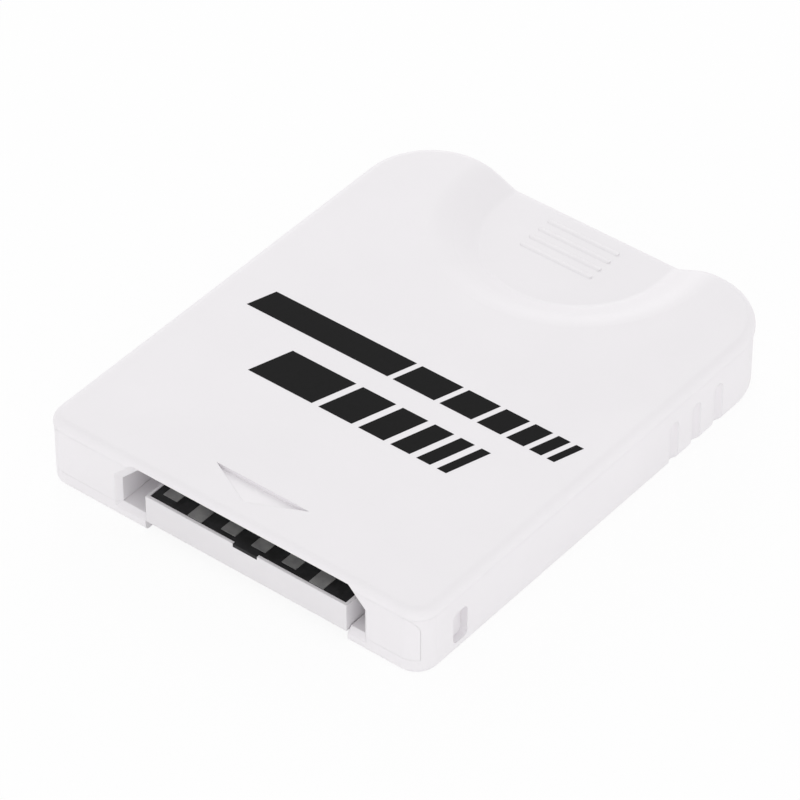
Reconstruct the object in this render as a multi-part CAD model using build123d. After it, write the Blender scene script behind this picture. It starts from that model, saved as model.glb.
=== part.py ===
from build123d import *
import os

# A console memory card: a lid and a tray of white plastic that clamp a small circuit board.
# Millimetres. The origin is in the middle of the underside, X runs across the card, Y from the
# connector end to the thumb end, and Z up.

# Outer body
card_width = 42.0
card_length = 52.5
card_height = 7.0
front_corner_radius = 2.2
rear_corner_radius = 7.2
top_edge_radius = 0.9
bottom_edge_radius = 0.45

# Walls and the joint between the two shells
roof_thickness = 0.95
side_wall = 1.5
floor_thickness = 1.5
front_wall = 2.0
shell_gap = 0.1
skirt_wall = 0.8
skirt_depth = 1.2
lid_overhang = 0.1
panel_side_inset = 0.6
panel_corner_radius = 1.4
seam_gap = 0.005

# Connector mouth, tongue and contacts
contact_count = 6
contact_pitch = 1.68
contact_width = 1.55
contact_thickness = 0.08
board_edge_margin = 0.7
tongue_rim = 0.3
left_pocket = 3.0
right_pocket = 1.6
mouth_offset = 1.1
mouth_depth = 7.0
mouth_corner = 1.9
mouth_lead_in = 0.5
mouth_clear_height = 2.05
shroud_wall = 1.2
tongue_relief_height = 1.1
tongue_foot_length = 3.0
tab_width = 2.6
tab_thickness = 0.35
contact_group_count = 4
short_contact_setback = 0.45
first_contact_setback = 0.75
contact_end_gap = 0.8

# Circuit board and the posts that hold it
board_thickness = 1.0
board_fit = 0.05
board_wall_gap = 1.0
board_scoop_gap = 1.0
shroud_gap = 0.3
post_radius = 1.8
pin_radius = 0.9
pin_height = 1.4
pin_fit = 0.1
pin_end_gap = 0.2
post_inset = 2.4

# Thumb scoop and its grip ridges
scoop_rim_radius = 12.4
scoop_floor_radius = 9.2
scoop_depth = 1.35
scoop_crest_radius = 6.0
scoop_root_radius = 1.5
scoop_centre_from_rear = 3.15
ridge_count = 4
ridge_length = 8.0
ridge_width = 0.6
ridge_height = 0.09
ridge_pitch = 1.38
ridge_first_from_rear = 2.3

# Engraved insertion arrow
arrow_width = 10.2
arrow_length = 2.5
arrow_depth = 0.4
arrow_base_from_front = 4.65

# Detent notch and grip grooves, on both sides
notch_from_front = 4.4
notch_length = 1.9
notch_bottom = 0.9
notch_height = 3.3
notch_floor = 0.8
notch_end_radius = 0.5
groove_count = 3
groove_radius = 0.75
groove_depth = 0.45
groove_height = 4.5
groove_pitch = 3.3
groove_first_from_rear = 10.2

# Parts on the board
flash_length = 18.4
flash_thickness = 1.0
flash_lead_count = 24
flash_lead_pitch = 0.5
controller_thickness = 1.0
controller_lead_count = 8
controller_lead_pitch = 0.8
controller_margin = 0.3
chip_gap = 1.0
chip_standoff = 0.1
lead_width = 0.22
lead_thickness = 0.13
lead_foot = 0.5
lead_reach = 0.8
passive_length = 1.6
passive_width = 0.8
capacitor_height = 0.8
resistor_height = 0.45
passive_count = 6
passive_pitch = 3.4
passive_row_gap = 1.6
end_cap_length = 0.3
end_cap_step = 0.03

# Places worked out from the sizes above
front_y = -card_length / 2
rear_y = card_length / 2
parting_z = card_height - roof_thickness
tray_half = card_width / 2 - lid_overhang
notch_depth = side_wall - notch_floor
front_wall_half = tray_half - panel_side_inset
board_top_z = parting_z - mouth_clear_height
board_bottom_z = board_top_z - board_thickness
contact_places = 2 * contact_count
finger_width = contact_places * contact_pitch + 2 * board_edge_margin
tongue_width = finger_width + 2 * (tongue_rim + board_fit)
mouth_width = left_pocket + tongue_width + right_pocket
mouth_left = mouth_offset - mouth_width / 2
mouth_right = mouth_offset + mouth_width / 2
tongue_left = mouth_left + left_pocket
tongue_right = tongue_left + tongue_width
tongue_x = (tongue_left + tongue_right) / 2
mouth_back_y = front_y + mouth_depth
shroud_back_y = mouth_back_y + shroud_wall
scoop_y = rear_y - scoop_centre_from_rear
scoop_floor_z = card_height - scoop_depth
board_front_y = front_y + tongue_rim + board_fit
board_neck_y = shroud_back_y + shroud_gap
board_rear_y = scoop_y - scoop_rim_radius - board_scoop_gap
board_half = tray_half - side_wall - board_wall_gap
board_middle_y = (board_neck_y + board_rear_y) / 2
tab_bottom_z = board_top_z - tab_thickness
flash_width = flash_lead_count * flash_lead_pitch
controller_width = controller_lead_count * controller_lead_pitch + 2 * controller_margin
chips_half = (flash_length + chip_gap + controller_width) / 2 + 2 * lead_reach
flash_x = lead_reach + flash_length / 2 - chips_half
controller_x = chips_half - lead_reach - controller_width / 2
passive_row_reach = flash_width / 2 + passive_row_gap + passive_length / 2
past = 1.0


def block(x_low, x_high, y_low, y_high, z_low, z_high):
    """A plain block between two corners."""
    size = (x_high - x_low, y_high - y_low, z_high - z_low)
    corner = Pos(x_low, y_low, z_low)
    return corner * Box(*size, align=(Align.MIN, Align.MIN, Align.MIN))


def upright(radius, x, y, z_low, z_high):
    """A round post or hole between two heights."""
    return Pos(x, y, z_low) * Cylinder(radius, z_high - z_low, align=(Align.CENTER, Align.CENTER, Align.MIN))


def outline(inset):
    """The card's plan, moved inwards: small corners at the front and large ones at the rear."""
    return rounded_plan(card_width - 2 * inset, card_length - 2 * inset, inset)


def rounded_plan(width, length, inset):
    """A rectangle with the card's corners, each as much smaller as the plan is moved inwards."""
    plan = Rectangle(width, length)
    smallest = 0.2
    rear = plan.vertices().group_by(Axis.Y)[-1]
    plan = fillet(rear, max(rear_corner_radius - inset, smallest))
    front = plan.vertices().group_by(Axis.Y)[0]
    return fillet(front, max(front_corner_radius - inset, smallest))


def tray_slab(inset, z_low, z_high):
    """The tray's plan as a plate: the lid stands out past it on both sides and at the rear."""
    plan = rounded_plan(2 * tray_half - 2 * inset, card_length - lid_overhang - 2 * inset, inset)
    return Pos(0, -lid_overhang / 2, z_low) * extrude(plan, z_high - z_low)


def slab(inset, z_low, z_high):
    """The card's plan as a plate between two heights."""
    return Pos(0, 0, z_low) * extrude(outline(inset), z_high - z_low)


def dish(drop):
    """The thumb scoop's shape: a shallow bowl with soft edges that runs out through the rear end."""
    low_z = scoop_floor_z - drop
    top_z = low_z + scoop_depth
    far = scoop_rim_radius + scoop_crest_radius / 2
    high_z = top_z + past
    corners = [(0, low_z), (scoop_floor_radius, low_z), (scoop_rim_radius, top_z)]
    corners += [(far, top_z), (far, high_z), (0, high_z)]
    half = Polygon(*corners, align=None)
    root = half.vertices().sort_by_distance(corners[1])[0]
    half = fillet(root, scoop_root_radius)
    crest = half.vertices().sort_by_distance(corners[2])[0]
    half = fillet(crest, scoop_crest_radius)
    upright_plane = Plane((0, scoop_y, 0), x_dir=(1, 0, 0), z_dir=(0, -1, 0))
    section = upright_plane * half
    bowl = revolve(section, Axis((0, scoop_y, 0), (0, 0, 1)))
    channel = extrude(section, scoop_centre_from_rear + past, dir=(0, 1, 0))
    return bowl + channel + mirror(channel, about=Plane.YZ)


def rim_edges(form):
    """The edges around the top of the outer walls, which dip through the scoop at the rear end."""
    rim = []
    for face in form.faces():
        box = face.bounding_box()
        is_wall = box.min.Z < 0.001 < box.max.Z - 0.001
        if is_wall:
            rim += [edge for edge in face.edges() if edge.center().Z > scoop_floor_z - 0.001]
    return rim


def lid_form():
    """The lid's outside: the plan with the scoop cut into it and its upper rim rounded."""
    form = slab(0, 0, card_height) - dish(0)
    return fillet(rim_edges(form), top_edge_radius)


def panel_zone(gap):
    """The front panel's place: a block in the front end with its upper outer corners rounded."""
    half = front_wall_half + gap
    low_z = floor_thickness + seam_gap - gap
    plan = Rectangle(2 * half, parting_z - low_z, align=(Align.CENTER, Align.MIN))
    plan = fillet(plan.vertices().group_by(Axis.Y)[-1], panel_corner_radius + gap)
    cross_plane = Plane((0, front_y - past, low_z), x_dir=(1, 0, 0), z_dir=(0, -1, 0))
    return extrude(cross_plane * plan, past + front_wall + gap, dir=(0, 1, 0))


def mouth_section(y, flare):
    """The mouth's outline on a plane across the card: a low opening with its upper corners cut off."""
    left = mouth_left - flare
    right = mouth_right + flare
    top = parting_z + flare
    shoulder = top - mouth_corner
    corners = [(left, 0), (right, 0), (right, shoulder), (right - mouth_corner, top)]
    corners += [(left + mouth_corner, top), (left, shoulder)]
    cross_plane = Plane((0, y, 0), x_dir=(1, 0, 0), z_dir=(0, -1, 0))
    return cross_plane * Polygon(*corners, align=None)


def mouth_space():
    """The space inside the connector mouth, flared a little at its front edges."""
    space = extrude(mouth_section(front_y - past, 0), mouth_depth + past, dir=(0, 1, 0))
    wide_end = mouth_section(front_y, mouth_lead_in)
    flare = loft([wide_end, mouth_section(front_y + mouth_lead_in, 0)], ruled=True)
    ahead = extrude(wide_end, past, dir=(0, -1, 0))
    return space + flare + ahead


def lip_bevel():
    """The bevel along the tray's front lip below the mouth, with mitred ends that follow the flare."""
    reach = mouth_lead_in + past
    low_z = floor_thickness - reach
    high_z = floor_thickness + past
    low_y = front_y - past
    high_y = front_y + reach
    plan_corners = [(mouth_left - reach, low_y), (mouth_right + reach, low_y)]
    plan_corners += [(mouth_right - past, high_y), (mouth_left + past, high_y)]
    column = Pos(0, 0, low_z) * extrude(Polygon(*plan_corners, align=None), high_z - low_z, dir=(0, 0, 1))
    side_plane = Plane((mouth_left - reach, 0, 0), x_dir=(0, 1, 0), z_dir=(1, 0, 0))
    side_corners = [(low_y, low_z), (high_y, high_z), (low_y, high_z)]
    wedge = extrude(side_plane * Polygon(*side_corners, align=None), mouth_width + 2 * reach, dir=(1, 0, 0))
    return column & wedge


def arrow_pocket():
    """The engraved arrow: deepest along its base and running out to nothing at its tip."""
    base_y = front_y + arrow_base_from_front
    tip_y = base_y - arrow_length
    half = arrow_width / 2
    plan = Polygon((-half, base_y), (half, base_y), (0, tip_y), align=None)
    column = Pos(0, 0, card_height - arrow_depth) * extrude(plan, arrow_depth + past, dir=(0, 0, 1))
    side_plane = Plane((-half, 0, card_height), x_dir=(0, 1, 0), z_dir=(1, 0, 0))
    corners = [(tip_y, 0), (base_y, -arrow_depth), (base_y, past), (tip_y, past)]
    wedge = extrude(side_plane * Polygon(*corners, align=None), arrow_width, dir=(1, 0, 0))
    return column & wedge


def grip_ridges():
    """The fine ridges across the scoop's floor: low round bars with round ends."""
    bar_radius = (ridge_width**2 / 4 + ridge_height**2) / (2 * ridge_height)
    bar = Pos(0, 0, ridge_height - bar_radius) * Rot(0, 90, 0) * Cylinder(bar_radius, ridge_length)
    column = Pos(0, 0, -ridge_height) * extrude(SlotOverall(ridge_length, ridge_width), 2 * ridge_height)
    ridge = bar & column
    ridges = []
    for number in range(ridge_count):
        y = rear_y - ridge_first_from_rear - number * ridge_pitch
        ridges.append(Pos(0, y, scoop_floor_z) * ridge)
    return ridges


def post_places():
    """Where the four posts hold the board, near its corners."""
    x = board_half - post_inset
    rows = (board_neck_y + post_inset, board_rear_y - post_inset)
    return [(side * x, y) for side in (-1, 1) for y in rows]


def top_shell():
    """The lid: roof with the scoop's dish, skirt inside the tray's walls and bosses over the board."""
    outside = lid_form()
    shell = outside & (slab(-past, parting_z, card_height + past) + dish(roof_thickness))
    inset = side_wall + shell_gap
    skirt_z = parting_z - skirt_depth
    skirt = tray_slab(inset, skirt_z, parting_z) - tray_slab(inset + skirt_wall, skirt_z, parting_z)
    half = card_width / 2
    skirt = skirt - block(-half, half, front_y, board_neck_y, skirt_z, parting_z) - dish(0)
    shell = shell + skirt
    for x, y in post_places():
        shell = shell + upright(post_radius, x, y, board_top_z, parting_z)
    for x, y in post_places():
        bore_z = board_top_z + pin_height + pin_end_gap
        shell = shell - upright(pin_radius + pin_fit, x, y, board_top_z, bore_z)
    shell = shell - mouth_space() - arrow_pocket()
    for ridge in grip_ridges():
        shell = shell + ridge
    return shell


def side_cuts():
    """The detent notch and the grip grooves of the right side, as solids to cut away."""
    wall_x = tray_half
    notch_y = front_y + notch_from_front
    window = Rectangle(notch_length, notch_height, align=(Align.MIN, Align.MIN))
    window = fillet(window.vertices(), notch_end_radius)
    side_plane = Plane((wall_x - notch_depth, notch_y, notch_bottom), x_dir=(0, 1, 0), z_dir=(1, 0, 0))
    cuts = [extrude(side_plane * window, notch_depth + past, dir=(1, 0, 0))]
    groove_x = wall_x + groove_radius - groove_depth
    half_width = (groove_radius**2 - (groove_radius - groove_depth) ** 2) ** 0.5
    end_z = groove_height - half_width
    for number in range(groove_count):
        y = rear_y - groove_first_from_rear - number * groove_pitch
        groove = upright(groove_radius, groove_x, y, -past, end_z)
        cuts.append(groove + Pos(groove_x, y, end_z) * Sphere(groove_radius))
    return cuts


def bottom_shell():
    """The tray: floor with a gap under the tongue, side walls, and the posts that carry the board."""
    shell = tray_slab(0, 0, parting_z)
    shell = fillet(shell.edges().group_by(Axis.Z)[0], bottom_edge_radius)
    shell = shell - panel_zone(seam_gap) - dish(roof_thickness + shell_gap)
    shell = shell - tray_slab(side_wall, floor_thickness, card_height)
    gap_left = tongue_left - shell_gap
    gap_right = tongue_right + shell_gap
    shell = shell - block(gap_left, gap_right, front_y - past, mouth_back_y, -past, floor_thickness + past)
    shell = shell - lip_bevel()
    for x, y in post_places():
        shell = shell + upright(post_radius, x, y, floor_thickness / 2, board_bottom_z)
        shell = shell + upright(pin_radius, x, y, board_bottom_z, board_top_z + pin_height)
    for cut in side_cuts():
        shell = shell - cut - mirror(cut, about=Plane.YZ)
    return shell


def connector_tongue():
    """The block that carries the board's front end in a shallow seat, on a foot behind the mouth."""
    tongue = block(tongue_left, tongue_right, front_y, mouth_back_y, tongue_relief_height, board_top_z)
    foot_y = shroud_back_y + tongue_foot_length
    foot_z = floor_thickness
    tongue = tongue + block(tongue_left, tongue_right, mouth_back_y, shroud_back_y, foot_z, board_top_z)
    tongue = tongue + block(tongue_left, tongue_right, shroud_back_y, foot_y, foot_z, board_bottom_z)
    seat_left = tongue_left + tongue_rim
    seat_right = tongue_right - tongue_rim
    high_z = board_top_z + past
    tongue = tongue - block(seat_left, seat_right, front_y + tongue_rim, foot_y, board_bottom_z, high_z)
    tab_half = tab_width / 2 + board_fit
    tab_left = tongue_x - tab_half
    tab_right = tongue_x + tab_half
    return tongue - block(tab_left, tab_right, front_y - past, front_y + past, tab_bottom_z, high_z)


def connector_frame():
    """The front panel either side of the mouth, with two cheeks and a back wall behind it."""
    left = mouth_left - shroud_wall
    right = mouth_right + shroud_wall
    low_y = front_y + front_wall / 2
    low_z = floor_thickness + seam_gap
    panel = panel_zone(0) & tray_slab(0, 0, card_height)
    cheeks = block(left, right, low_y, shroud_back_y, low_z, parting_z)
    slot_left = tongue_left - shell_gap
    slot_right = tongue_right + shell_gap
    slot_z = board_top_z + shell_gap
    slot = block(slot_left, slot_right, mouth_back_y - past, shroud_back_y + past, 0, slot_z)
    return panel + cheeks - mouth_space() - slot


def circuit_board():
    """The board: a narrow front end that lies in the tongue, and a wide plate behind the mouth."""
    half = finger_width / 2
    low_z = board_bottom_z
    board = block(-board_half, board_half, board_neck_y, board_rear_y, low_z, board_top_z)
    board = board + block(tongue_x - half, tongue_x + half, board_front_y, board_neck_y, low_z, board_top_z)
    tab_left = tongue_x - tab_width / 2
    tab_right = tongue_x + tab_width / 2
    board = board + block(tab_left, tab_right, front_y, board_front_y, tab_bottom_z, board_top_z)
    for x, y in post_places():
        board = board - upright(pin_radius + pin_fit, x, y, low_z, board_top_z)
    return board


def contact(number):
    """One contact pad. The second of each group reaches the board's edge, and the first of all least."""
    place = 2 * number - (contact_places - 1) / 2
    x = tongue_x + place * contact_pitch
    setback = short_contact_setback
    if number % contact_group_count == 1:
        setback = 0
    if number == 0:
        setback = first_contact_setback
    half = contact_width / 2
    high_z = board_top_z + contact_thickness
    low_y = board_front_y + setback
    return block(x - half, x + half, low_y, mouth_back_y - contact_end_gap, board_top_z, high_z)


def chip(length, width, tall, x):
    """A chip's plastic body, a little above the board."""
    low_z = board_top_z + chip_standoff
    middle = (Align.CENTER, Align.CENTER, Align.MIN)
    return Pos(x, board_middle_y, low_z) * Box(length, width, tall, align=middle)


def lead_row(count, pitch, tall):
    """A row of bent leads along Y that leave the plane X = 0 towards plus X and stand on Z = 0."""
    bend = lead_reach - lead_foot
    shoulder = chip_standoff + tall / 2
    top = shoulder + lead_thickness
    corners = [(0, shoulder), (bend - lead_thickness, shoulder), (bend - lead_thickness, 0), (lead_reach, 0)]
    corners += [(lead_reach, lead_thickness), (bend, lead_thickness), (bend, top), (0, top)]
    side_plane = Plane((0, lead_width / 2, 0), x_dir=(1, 0, 0), z_dir=(0, -1, 0))
    lead = extrude(side_plane * Polygon(*corners, align=None), lead_width, dir=(0, -1, 0))
    return [Pos(0, (number - (count - 1) / 2) * pitch, 0) * lead for number in range(count)]


def chip_leads(length, tall, x, count, pitch, turns):
    """The leads of one chip, one row for each turn about its middle."""
    leads = []
    for turn in turns:
        for lead in lead_row(count, pitch, tall):
            leads.append(Pos(x, board_middle_y, board_top_z) * Rot(0, 0, turn) * Pos(length / 2, 0, 0) * lead)
    return Compound(children=leads)


def passive(number, row_y, tall):
    """A small two-ended part on the board, with a metal cap on each end."""
    x = (number - (passive_count - 1) / 2) * passive_pitch
    middle = (Align.CENTER, Align.CENTER, Align.MIN)
    core = Box(passive_width, passive_length - end_cap_length, tall - end_cap_step, align=middle)
    shift = (passive_length - end_cap_length) / 2
    cap = Box(passive_width + 2 * end_cap_step, end_cap_length, tall, align=middle)
    whole = core + Pos(0, shift, 0) * cap + Pos(0, -shift, 0) * cap
    return Pos(x, row_y, board_top_z) * whole


os.makedirs("parts", exist_ok=True)

pieces = {
    "top_shell": top_shell(),
    "bottom_shell": bottom_shell(),
    "connector_tongue": connector_tongue(),
    "connector_frame": connector_frame(),
    "circuit_board": circuit_board(),
    "flash_chip": chip(flash_length, flash_width, flash_thickness, flash_x),
    "flash_chip_leads": chip_leads(
        flash_length, flash_thickness, flash_x, flash_lead_count, flash_lead_pitch, (0, 180)
    ),
    "controller_chip": chip(controller_width, controller_width, controller_thickness, controller_x),
    "controller_chip_leads": chip_leads(
        controller_width,
        controller_thickness,
        controller_x,
        controller_lead_count,
        controller_lead_pitch,
        (0, 90, 180, 270),
    ),
}
for number in range(contact_count):
    pieces["contact_" + str(number + 1)] = contact(number)

for number in range(passive_count):
    rear_row_y = board_middle_y + passive_row_reach
    front_row_y = board_middle_y - passive_row_reach
    pieces["capacitor_" + str(number + 1)] = passive(number, rear_row_y, capacitor_height)
    pieces["resistor_" + str(number + 1)] = passive(number, front_row_y, resistor_height)

for name, piece in pieces.items():
    export_step(piece, "parts/" + name + ".step")
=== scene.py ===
import math

import bmesh
import bpy
from mathutils import Matrix, Vector


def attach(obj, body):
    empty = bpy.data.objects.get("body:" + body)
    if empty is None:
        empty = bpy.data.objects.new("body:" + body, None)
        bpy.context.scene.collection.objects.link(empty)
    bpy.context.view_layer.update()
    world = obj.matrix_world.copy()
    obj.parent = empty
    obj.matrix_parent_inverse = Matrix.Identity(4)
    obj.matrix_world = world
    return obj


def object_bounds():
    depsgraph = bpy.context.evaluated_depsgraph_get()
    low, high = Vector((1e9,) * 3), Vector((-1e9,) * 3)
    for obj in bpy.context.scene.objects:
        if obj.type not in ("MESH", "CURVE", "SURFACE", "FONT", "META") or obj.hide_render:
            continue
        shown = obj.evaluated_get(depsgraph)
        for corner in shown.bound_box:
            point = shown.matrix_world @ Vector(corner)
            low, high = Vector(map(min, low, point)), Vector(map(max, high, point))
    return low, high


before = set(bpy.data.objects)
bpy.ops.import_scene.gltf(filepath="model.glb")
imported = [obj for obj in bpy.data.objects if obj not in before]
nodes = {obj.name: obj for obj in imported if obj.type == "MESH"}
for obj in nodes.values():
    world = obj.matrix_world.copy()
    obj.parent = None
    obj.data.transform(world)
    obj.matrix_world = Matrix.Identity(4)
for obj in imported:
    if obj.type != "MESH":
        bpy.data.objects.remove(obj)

cad_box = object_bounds()
MM = 0.001

# Camera, fitted to the outline of the card in the photograph
CAMERA_AZIMUTH = math.radians(38.54)
CAMERA_ELEVATION = math.radians(40.47)
CAMERA_DISTANCE = 443.65 * MM
CAMERA_LENS = 225.0
CAMERA_SENSOR = 36.0
AIM_RIGHT = -1.75 * MM
AIM_UP = 1.75 * MM

# Light: the room's strength overhead, what its horizon adds, and the lamps' watts, places and sizes
ROOM_LEVEL = 0.834
HORIZON_LEVEL = 0.865
HORIZON_POWER = 4.0
KEY_POWER = 0.69
KEY_PLACE = (-0.46, 0.50, 0.29)
KEY_SIZE = 0.3
FILL_POWER = 0.325
FILL_PLACE = (0.37, -0.50, 0.33)
FILL_SIZE = 0.25
LAMP_TARGET = (0.0, 0.0, 0.0)

# Floor: half its width, its gap to the card, its colour and the share of plain white that the camera sees
FLOOR_REACH = 3.0
FLOOR_DROP = 0.02 * MM
FLOOR_GREY = 0.95
FLOOR_LIFT = 0.9

# Numbers of the repeated pieces
CONTACT_COUNT = 6
PASSIVE_COUNT = 6

# Print on the lid's top: two rows of stripes that taper off, in millimetres from the card's middle
PRINT_TOP = cad_box[1][2]
PRINT_THICKNESS = 0.012 * MM
PRINT_SLANT = 0.32
BIG_ROW_LOW = -10.5
BIG_ROW_HIGH = -6.05
BIG_ROW_START = -10.9
BIG_ROW_GAP = 0.75
BIG_ROW_STRIPES = (7.2, 3.7, 2.8, 2.1, 1.5, 1.0)
LONG_ROW_LOW = -3.6
LONG_ROW_HIGH = -0.6
LONG_ROW_START = -16.8
LONG_ROW_GAP = 0.6
LONG_ROW_STRIPES = (16.0, 4.6, 3.5, 2.6, 1.9, 1.3, 0.8)


def new_material(name):
    """An empty node material with its Principled shader."""
    material = bpy.data.materials.new(name)
    material.use_nodes = True
    tree = material.node_tree
    tree.nodes.clear()
    out = tree.nodes.new("ShaderNodeOutputMaterial")
    shader = tree.nodes.new("ShaderNodeBsdfPrincipled")
    tree.links.new(shader.outputs["BSDF"], out.inputs["Surface"])
    return material, tree, shader


def place(tree, scale):
    """The piece's own coordinates, stretched."""
    coords = tree.nodes.new("ShaderNodeTexCoord")
    mapping = tree.nodes.new("ShaderNodeMapping")
    mapping.inputs["Scale"].default_value = scale
    tree.links.new(coords.outputs["Object"], mapping.inputs["Vector"])
    return mapping.outputs["Vector"]


def noise(tree, vector, scale, detail, roughness):
    """A noise pattern on those coordinates."""
    node = tree.nodes.new("ShaderNodeTexNoise")
    node.inputs["Scale"].default_value = scale
    node.inputs["Detail"].default_value = detail
    node.inputs["Roughness"].default_value = roughness
    tree.links.new(vector, node.inputs["Vector"])
    return node.outputs["Fac"]


def ramp(tree, value, stops):
    """A colour ramp of (position, colour) stops."""
    node = tree.nodes.new("ShaderNodeValToRGB")
    band = node.color_ramp
    band.elements[0].position = stops[0][0]
    band.elements[0].color = stops[0][1]
    band.elements[1].position = stops[-1][0]
    band.elements[1].color = stops[-1][1]
    for position, colour in stops[1:-1]:
        band.elements.new(position).color = colour
    tree.links.new(value, node.inputs["Fac"])
    return node.outputs["Color"]


def span(tree, value, low, high):
    """A noise value, mostly between a quarter and three quarters, spread between two limits."""
    node = tree.nodes.new("ShaderNodeMapRange")
    node.inputs["From Min"].default_value = 0.25
    node.inputs["From Max"].default_value = 0.75
    node.inputs["To Min"].default_value = low
    node.inputs["To Max"].default_value = high
    tree.links.new(value, node.inputs["Value"])
    return node.outputs["Result"]


def bump(tree, height, strength, distance, normal=None):
    """A bump from a height pattern."""
    node = tree.nodes.new("ShaderNodeBump")
    node.inputs["Strength"].default_value = strength
    node.inputs["Distance"].default_value = distance
    tree.links.new(height, node.inputs["Height"])
    if normal is not None:
        tree.links.new(normal, node.inputs["Normal"])
    return node.outputs["Normal"]


def soft_edge(tree, radius):
    """Normals that round sharp edges a little."""
    node = tree.nodes.new("ShaderNodeBevel")
    node.samples = 6
    node.inputs["Radius"].default_value = radius
    return node.outputs["Normal"]


def grey(level, tint=(1.0, 1.0, 1.0)):
    """A grey with a slight tint."""
    return (level * tint[0], level * tint[1], level * tint[2], 1.0)


def plastic_material(name, low, high):
    """White satin moulded plastic: fine grain, faint clouding and slightly uneven gloss."""
    material, tree, shader = new_material(name)
    cool = (1.0, 0.975, 1.0)
    vector = place(tree, (1.0, 1.0, 1.0))
    clouds = noise(tree, vector, 90.0, 4.0, 0.55)
    grain = noise(tree, vector, 5200.0, 3.0, 0.6)
    colour = ramp(tree, clouds, [(0.3, grey(low, cool)), (0.7, grey(high, cool))])
    tree.links.new(colour, shader.inputs["Base Color"])
    tree.links.new(span(tree, grain, 0.40, 0.52), shader.inputs["Roughness"])
    rounded = soft_edge(tree, 0.08 * MM)
    tree.links.new(bump(tree, grain, 0.12, 0.02 * MM, rounded), shader.inputs["Normal"])
    shader.inputs["IOR"].default_value = 1.5
    shader.inputs["Specular IOR Level"].default_value = 0.4
    return material


def board_material():
    """Black lacquered circuit board with a faint weave under the lacquer."""
    material, tree, shader = new_material("board_lacquer")
    vector = place(tree, (1.0, 1.0, 1.0))
    wave = tree.nodes.new("ShaderNodeTexWave")
    wave.inputs["Scale"].default_value = 700.0
    wave.inputs["Distortion"].default_value = 1.5
    tree.links.new(vector, wave.inputs["Vector"])
    patches = noise(tree, vector, 700.0, 3.0, 0.6)
    colour = ramp(tree, patches, [(0.35, grey(0.020)), (0.7, grey(0.035, (1.0, 1.0, 1.06)))])
    tree.links.new(colour, shader.inputs["Base Color"])
    tree.links.new(span(tree, patches, 0.32, 0.48), shader.inputs["Roughness"])
    shader.inputs["Specular IOR Level"].default_value = 0.08
    tree.links.new(bump(tree, wave.outputs["Fac"], 0.15, 0.01 * MM), shader.inputs["Normal"])
    return material


def contact_material():
    """Grey plated contact, brushed along the way the card slides in."""
    material, tree, shader = new_material("contact_plating")
    vector = place(tree, (1.0, 0.05, 1.0))
    lines = noise(tree, vector, 9000.0, 4.0, 0.65)
    stains = noise(tree, place(tree, (1.0, 1.0, 1.0)), 900.0, 3.0, 0.6)
    colour = ramp(tree, stains, [(0.3, grey(0.24)), (0.75, grey(0.38, (1.0, 0.99, 0.97)))])
    tree.links.new(colour, shader.inputs["Base Color"])
    tree.links.new(span(tree, lines, 0.34, 0.5), shader.inputs["Roughness"])
    tree.links.new(bump(tree, lines, 0.2, 0.01 * MM), shader.inputs["Normal"])
    shader.inputs["Metallic"].default_value = 0.35
    return material


def chip_material():
    """Dark moulded chip body with a sandy grain."""
    material, tree, shader = new_material("chip_resin")
    vector = place(tree, (1.0, 1.0, 1.0))
    grain = noise(tree, vector, 6000.0, 3.0, 0.7)
    colour = ramp(tree, grain, [(0.3, grey(0.018)), (0.7, grey(0.035))])
    tree.links.new(colour, shader.inputs["Base Color"])
    tree.links.new(span(tree, grain, 0.5, 0.7), shader.inputs["Roughness"])
    tree.links.new(bump(tree, grain, 0.3, 0.02 * MM), shader.inputs["Normal"])
    return material


def lead_material():
    """Tinned leads with a dull, slightly uneven shine."""
    material, tree, shader = new_material("tinned_metal")
    grain = noise(tree, place(tree, (1.0, 1.0, 1.0)), 4000.0, 3.0, 0.6)
    colour = ramp(tree, grain, [(0.3, grey(0.55)), (0.7, grey(0.72, (1.0, 1.0, 1.02)))])
    tree.links.new(colour, shader.inputs["Base Color"])
    tree.links.new(span(tree, grain, 0.25, 0.45), shader.inputs["Roughness"])
    shader.inputs["Metallic"].default_value = 1.0
    return material


def capped_material(name, dark, light):
    """A small part on the board: a coloured middle between two metal ends."""
    material, tree, shader = new_material(name)
    coords = tree.nodes.new("ShaderNodeTexCoord")
    split = tree.nodes.new("ShaderNodeSeparateXYZ")
    tree.links.new(coords.outputs["Generated"], split.inputs["Vector"])
    along = split.outputs["Y"]
    # Share of the length that each end takes, and the width of the change from one to the other
    cap = 0.19
    blur = 0.01
    ends = ramp(
        tree,
        along,
        [
            (0.0, grey(1.0)),
            (cap - blur, grey(1.0)),
            (cap + blur, grey(0.0)),
            (1.0 - cap - blur, grey(0.0)),
            (1.0 - cap + blur, grey(1.0)),
            (1.0, grey(1.0)),
        ],
    )
    speckle = noise(tree, place(tree, (1.0, 1.0, 1.0)), 7000.0, 3.0, 0.6)
    middle = ramp(tree, speckle, [(0.3, dark), (0.7, light)])
    mix = tree.nodes.new("ShaderNodeMix")
    mix.data_type = "RGBA"
    # The colour sockets of this node share their names with others, so they are taken by number
    middle_socket, metal_socket = mix.inputs[6], mix.inputs[7]
    mixed_colour = mix.outputs[2]
    tree.links.new(ends, mix.inputs["Factor"])
    tree.links.new(middle, middle_socket)
    metal_socket.default_value = grey(0.65)
    tree.links.new(mixed_colour, shader.inputs["Base Color"])
    tree.links.new(ends, shader.inputs["Metallic"])
    tree.links.new(span(tree, speckle, 0.35, 0.55), shader.inputs["Roughness"])
    return material


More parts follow.
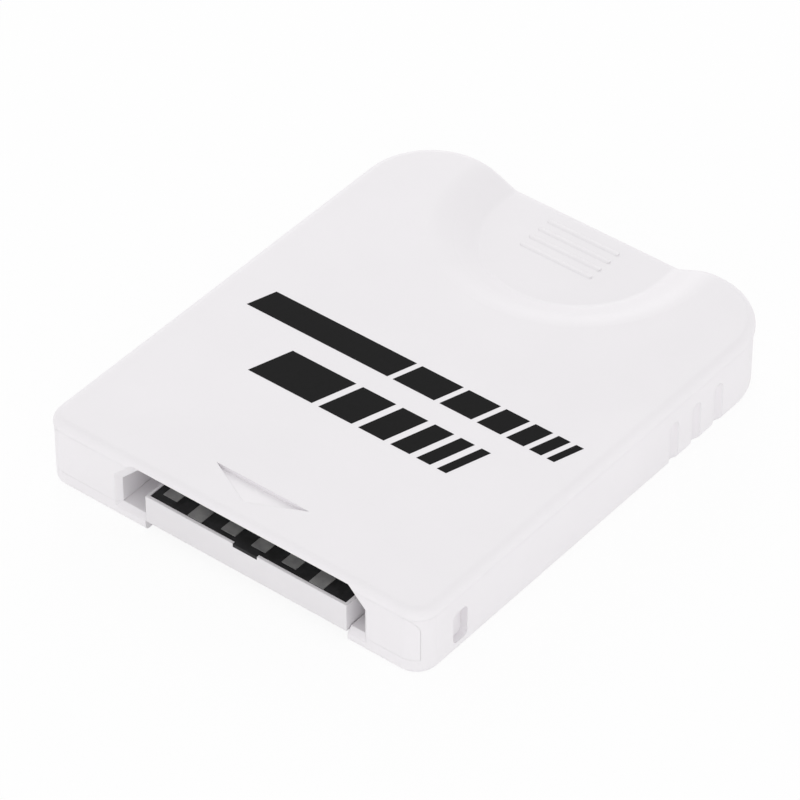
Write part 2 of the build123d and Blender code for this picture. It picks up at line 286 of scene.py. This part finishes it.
def ink_material():
    """Matt black printing ink, a little uneven."""
    material, tree, shader = new_material("print_ink")
    vector = place(tree, (1.0, 1.0, 1.0))
    patches = noise(tree, vector, 1500.0, 4.0, 0.6)
    colour = ramp(tree, patches, [(0.3, grey(0.005)), (0.7, grey(0.010, (1.0, 0.97, 1.02)))])
    tree.links.new(colour, shader.inputs["Base Color"])
    tree.links.new(span(tree, patches, 0.5, 0.65), shader.inputs["Roughness"])
    shader.inputs["Specular IOR Level"].default_value = 0.06
    return material


def stripe_row(name, low, high, start, gap, widths, material):
    """A row of slanted stripes printed on the lid, from left to right."""
    mesh = bpy.data.meshes.new(name)
    form = bmesh.new()
    left = start
    lean = PRINT_SLANT * (high - low)
    for width in widths:
        corners = [
            (left, low),
            (left + width, low),
            (left + width + lean, high),
            (left + lean, high),
        ]
        bottom = [form.verts.new((x * MM, y * MM, PRINT_TOP - PRINT_THICKNESS)) for x, y in corners]
        top = [form.verts.new((x * MM, y * MM, PRINT_TOP + PRINT_THICKNESS)) for x, y in corners]
        form.faces.new(top)
        form.faces.new(list(reversed(bottom)))
        for number in range(4):
            after = (number + 1) % 4
            form.faces.new([bottom[number], bottom[after], top[after], top[number]])
        left = left + width + gap
    form.to_mesh(mesh)
    form.free()
    piece = bpy.data.objects.new(name, mesh)
    bpy.context.scene.collection.objects.link(piece)
    mesh.materials.append(material)
    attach(piece, "root")
    return piece


def numbered(name, count):
    """The names of repeated nodes, counted from 1."""
    return [name + "_" + str(number + 1) for number in range(count)]


def dress(names, material):
    """Gives CAD nodes their material."""
    for name in names:
        mesh = nodes[name].data
        mesh.materials.clear()
        mesh.materials.append(material)


def seen_rays(tree):
    """1 for the rays of the camera and of mirrored or clear surfaces, and 0 for the rest."""
    paths = tree.nodes.new("ShaderNodeLightPath")
    seen = paths.outputs["Is Camera Ray"]
    for kind in ("Is Glossy Ray", "Is Transmission Ray"):
        either = tree.nodes.new("ShaderNodeMath")
        either.operation = "MAXIMUM"
        tree.links.new(seen, either.inputs[0])
        tree.links.new(paths.outputs[kind], either.inputs[1])
        seen = either.outputs["Value"]
    return seen


def soft_lamp(name, position, target, size, power):
    """A large square lamp that faces a point."""
    lamp = bpy.data.lights.new(name, "AREA")
    lamp.size = size
    lamp.energy = power
    piece = bpy.data.objects.new(name, lamp)
    piece.location = position
    aim = Vector(target) - Vector(position)
    piece.rotation_euler = aim.to_track_quat("-Z", "Y").to_euler()
    bpy.context.scene.collection.objects.link(piece)
    return piece


# Materials of the CAD nodes
dress(["top_shell", "bottom_shell", "connector_frame"], plastic_material("white_plastic", 0.835, 0.855))
# The tongue gets the shell's plastic painted a darker grey: painted shade standing in for the shadow that
# falls on its front face
dress(["connector_tongue"], plastic_material("tongue_plastic_painted_shade", 0.77, 0.80))
dress(["circuit_board"], board_material())
dress(numbered("contact", CONTACT_COUNT), contact_material())
dress(["flash_chip", "controller_chip"], chip_material())
dress(["flash_chip_leads", "controller_chip_leads"], lead_material())
tan = capped_material("capacitor_ceramic", (0.26, 0.18, 0.10, 1.0), (0.34, 0.24, 0.14, 1.0))
black = capped_material("resistor_film", grey(0.015), grey(0.03))
dress(numbered("capacitor", PASSIVE_COUNT), tan)
dress(numbered("resistor", PASSIVE_COUNT), black)

# Print
ink = ink_material()
stripe_row("print_big_row", BIG_ROW_LOW, BIG_ROW_HIGH, BIG_ROW_START, BIG_ROW_GAP, BIG_ROW_STRIPES, ink)
stripe_row(
    "print_long_row", LONG_ROW_LOW, LONG_ROW_HIGH, LONG_ROW_START, LONG_ROW_GAP, LONG_ROW_STRIPES, ink
)

# Floor
floor_mesh = bpy.data.meshes.new("floor")
floor_form = bmesh.new()
bmesh.ops.create_grid(floor_form, x_segments=1, y_segments=1, size=FLOOR_REACH)
floor_form.to_mesh(floor_mesh)
floor_form.free()
floor = bpy.data.objects.new("floor", floor_mesh)
floor.location.z = -FLOOR_DROP
bpy.context.scene.collection.objects.link(floor)
floor_material = bpy.data.materials.new("pale_floor")
floor_material.use_nodes = True
floor_tree = floor_material.node_tree
floor_tree.nodes.clear()
floor_out = floor_tree.nodes.new("ShaderNodeOutputMaterial")
floor_mix = floor_tree.nodes.new("ShaderNodeMixShader")
floor_diffuse = floor_tree.nodes.new("ShaderNodeBsdfDiffuse")
floor_diffuse.inputs["Color"].default_value = grey(FLOOR_GREY)
floor_light = floor_tree.nodes.new("ShaderNodeEmission")
floor_light.inputs["Color"].default_value = grey(1.0)
floor_light.inputs["Strength"].default_value = 1.0
lift = floor_tree.nodes.new("ShaderNodeMath")
lift.operation = "MULTIPLY"
lift.inputs[1].default_value = FLOOR_LIFT
floor_tree.links.new(seen_rays(floor_tree), lift.inputs[0])
floor_tree.links.new(lift.outputs["Value"], floor_mix.inputs["Fac"])
floor_tree.links.new(floor_diffuse.outputs["BSDF"], floor_mix.inputs[1])
floor_tree.links.new(floor_light.outputs["Emission"], floor_mix.inputs[2])
floor_tree.links.new(floor_mix.outputs["Shader"], floor_out.inputs["Surface"])
floor_mesh.materials.append(floor_material)

# Light: a pale room that is brightest along the horizon, a weak key behind and a weaker fill in front
world = bpy.data.worlds.new("pale_room")
bpy.context.scene.world = world
world.use_nodes = True
room_tree = world.node_tree
room = room_tree.nodes["Background"]
room.inputs["Color"].default_value = (1.0, 1.0, 1.0, 1.0)
room_coords = room_tree.nodes.new("ShaderNodeTexCoord")
room_split = room_tree.nodes.new("ShaderNodeSeparateXYZ")
room_tree.links.new(room_coords.outputs["Generated"], room_split.inputs["Vector"])
room_fall = room_tree.nodes.new("ShaderNodeMapRange")
room_fall.inputs["To Min"].default_value = 1.0
room_fall.inputs["To Max"].default_value = 0.0
room_tree.links.new(room_split.outputs["Z"], room_fall.inputs["Value"])
room_curve = room_tree.nodes.new("ShaderNodeMath")
room_curve.operation = "POWER"
room_curve.inputs[1].default_value = HORIZON_POWER
room_tree.links.new(room_fall.outputs["Result"], room_curve.inputs[0])
room_glow = room_tree.nodes.new("ShaderNodeMath")
room_glow.operation = "MULTIPLY_ADD"
room_glow.inputs[1].default_value = HORIZON_LEVEL
room_glow.inputs[2].default_value = ROOM_LEVEL
room_tree.links.new(room_curve.outputs["Value"], room_glow.inputs[0])
room_level = room_tree.nodes.new("ShaderNodeMapRange")
room_level.inputs["To Max"].default_value = 1.0
room_tree.links.new(seen_rays(room_tree), room_level.inputs["Value"])
room_tree.links.new(room_glow.outputs["Value"], room_level.inputs["To Min"])
room_tree.links.new(room_level.outputs["Result"], room.inputs["Strength"])

soft_lamp("key_lamp", KEY_PLACE, LAMP_TARGET, KEY_SIZE, KEY_POWER)
soft_lamp("fill_lamp", FILL_PLACE, LAMP_TARGET, FILL_SIZE, FILL_POWER)

# Camera
back = Vector(
    (
        math.sin(CAMERA_AZIMUTH) * math.cos(CAMERA_ELEVATION),
        -math.cos(CAMERA_AZIMUTH) * math.cos(CAMERA_ELEVATION),
        math.sin(CAMERA_ELEVATION),
    )
)
right = Vector((math.cos(CAMERA_AZIMUTH), math.sin(CAMERA_AZIMUTH), 0.0))
up = back.cross(right)
aim = right * AIM_RIGHT + up * AIM_UP
camera_data = bpy.data.cameras.new("camera")
camera_data.lens = CAMERA_LENS
camera_data.sensor_width = CAMERA_SENSOR
camera_data.sensor_fit = "HORIZONTAL"
camera_data.clip_start = 0.01
camera_data.clip_end = 20.0
camera = bpy.data.objects.new("camera", camera_data)
turn = Matrix((right, up, back)).transposed().to_4x4()
camera.matrix_world = Matrix.Translation(aim + back * CAMERA_DISTANCE) @ turn
bpy.context.scene.collection.objects.link(camera)
bpy.context.scene.camera = camera

bpy.context.scene.view_settings.view_transform = "Standard"
